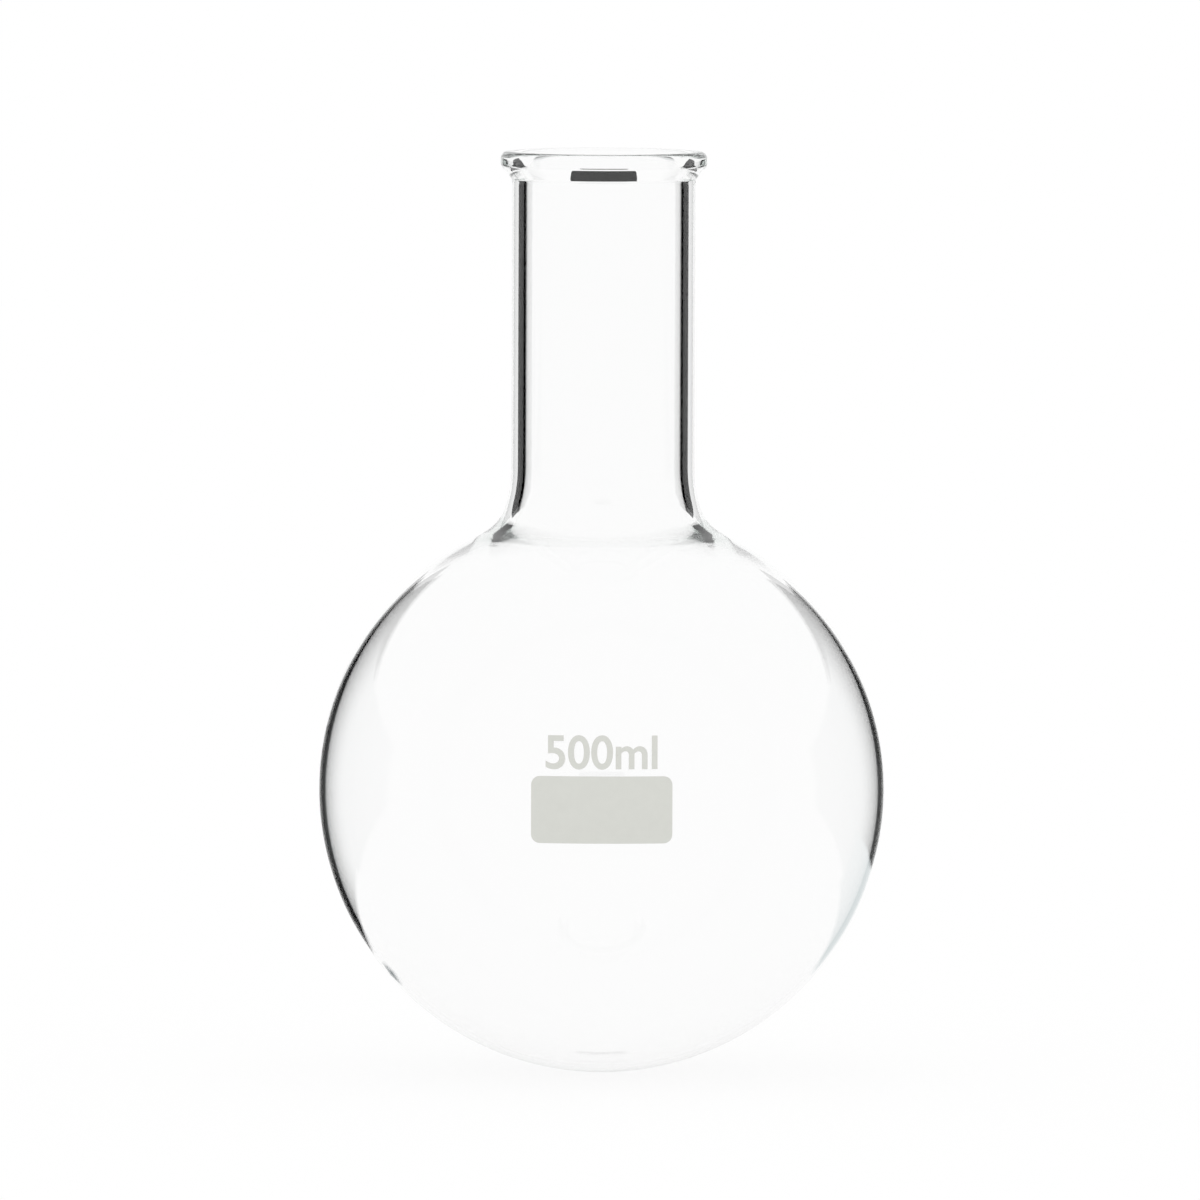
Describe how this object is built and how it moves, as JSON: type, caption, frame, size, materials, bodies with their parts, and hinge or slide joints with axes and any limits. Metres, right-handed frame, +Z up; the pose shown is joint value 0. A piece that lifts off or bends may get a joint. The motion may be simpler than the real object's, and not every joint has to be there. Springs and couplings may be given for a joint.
{
  "type": "round bottom flask",
  "caption": "Single-neck round-bottom boiling flask of borosilicate glass with a beaded lip and an enamel marking field.",
  "frame": {"origin": "lowest point of the bulb, on the axis of the neck", "axes": "+Z up along the neck's axis, the marking field faces -Y, +X to the right as one faces the marking"},
  "size_m": [0.105, 0.1052, 0.171],
  "materials": {
    "borosilicate_glass": "fire-polished, clear",
    "fired_enamel": "matt, fired on"
  },
  "bodies": {
    "root": {"flask": "borosilicate_glass", "marking_field": "fired_enamel"}
  },
  "joints": []
}
